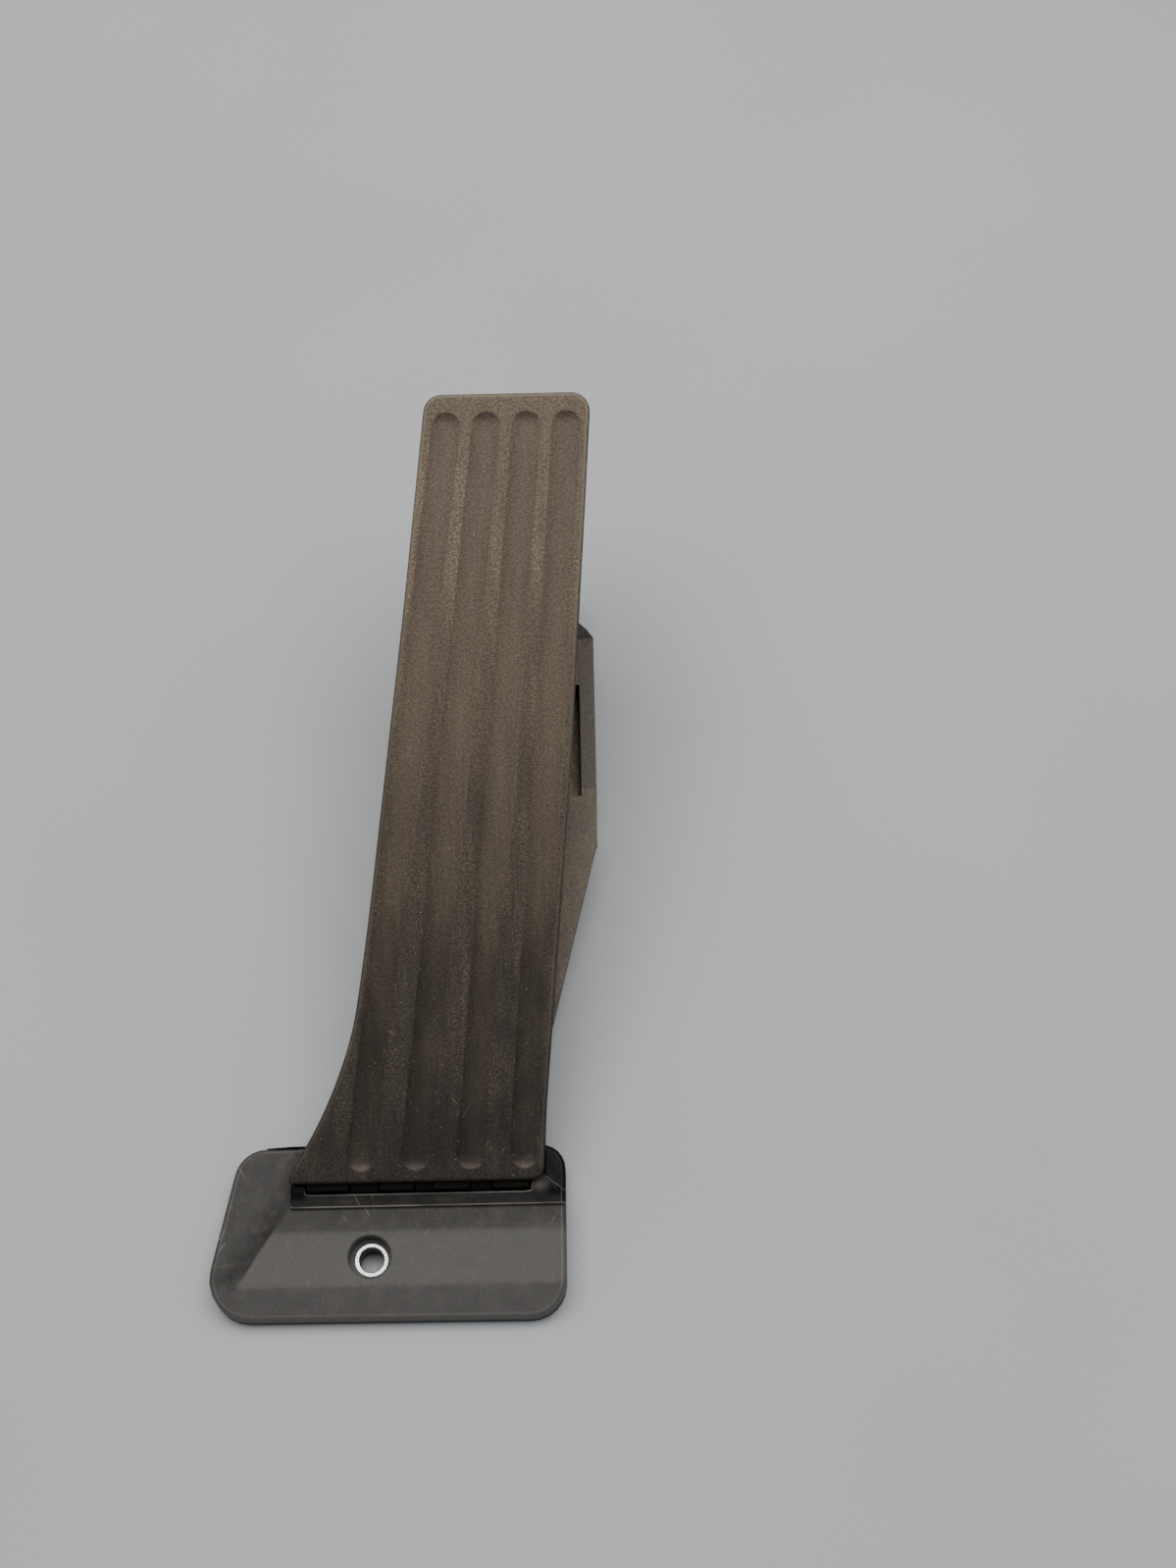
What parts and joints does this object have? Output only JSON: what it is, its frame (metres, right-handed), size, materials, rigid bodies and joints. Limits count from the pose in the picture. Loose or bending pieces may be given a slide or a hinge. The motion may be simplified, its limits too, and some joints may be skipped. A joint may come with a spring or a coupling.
{
  "type": "accelerator pedal module",
  "caption": "Floor-mounted car accelerator pedal: long grooved pad hinged at the foot of a ribbed plastic carrier, driving an angle sensor through a sprung fork lever.",
  "frame": {"origin": "axis of the mounting sleeve in the foot, on the face that lies on the floor", "axes": "+X to the right seen from above with the foot nearest, +Y from the foot towards the top of the pad, +Z out of the floor, the way the mounting screw leaves"},
  "size_m": [0.1114, 0.2432, 0.1029],
  "materials": {
    "carrier_plastic": "moulded glass-filled nylon, dark grey-green, semi-matt",
    "pad_plastic": "fine-grained moulded plastic, dark brown-grey",
    "cover_plastic": "smooth moulded plastic, darker than the carrier",
    "inner_plastic": "natural acetal",
    "lever_plastic": "black glass-filled nylon",
    "zinc_steel": "zinc-plated steel",
    "steel": "bright steel",
    "spring_steel": "oiled spring wire",
    "rubber": "black rubber",
    "board": "green circuit board",
    "chips": "black moulded chip packages",
    "contacts": "tinned brass contacts",
    "magnet": "sintered magnet, dark grey"
  },
  "bodies": {
    "housing": {"carrier": "carrier_plastic", "rear_cover": "carrier_plastic", "rear_cover_screws": "steel", "mounting_sleeve": "zinc_steel", "hinge_pin": "steel", "sensor_cover": "cover_plastic", "cover_seal": "rubber", "cover_screws": "steel", "sensor_board": "board", "board_components": "chips", "connector_pins": "contacts", "axle_bush_left": "inner_plastic", "axle_bush_right": "inner_plastic", "return_spring_left": "spring_steel", "return_spring_right": "spring_steel", "full_travel_stop": "rubber"},
    "pad": {"pedal_pad": "pad_plastic"},
    "lever": {"lever_fork": "lever_plastic", "lever_axle": "steel", "friction_washer": "inner_plastic", "roller_pin": "steel", "sensor_rotor": "inner_plastic", "rotor_magnets": "magnet"},
    "roller": {"guide_roller": "inner_plastic"}
  },
  "joints": [
    {"name": "pad_hinge", "type": "hinge", "parent": "housing", "child": "pad", "pos_m": [0.015, 0.022, 0.0095], "axis": [1, 0, 0], "range_deg": [-14.5, 0], "stiffness_Nm_per_rad": 6, "springref_deg": 14.32},
    {"name": "lever_pivot", "type": "hinge", "parent": "housing", "child": "lever", "pos_m": [0.039, 0.156, 0.014], "axis": [1, 0, 0], "range_deg": [0, 36], "deforming": ["return_spring_left", "return_spring_right"]},
    {"name": "roller_spin", "type": "hinge", "parent": "lever", "child": "roller", "pos_m": [0.039, 0.11849, 0.04395], "axis": [1, 0, 0], "continuous": true}
  ],
  "couplings": [
    {"joint": "lever_pivot", "follows": "pad_hinge", "ratio": -2.47}
  ]
}
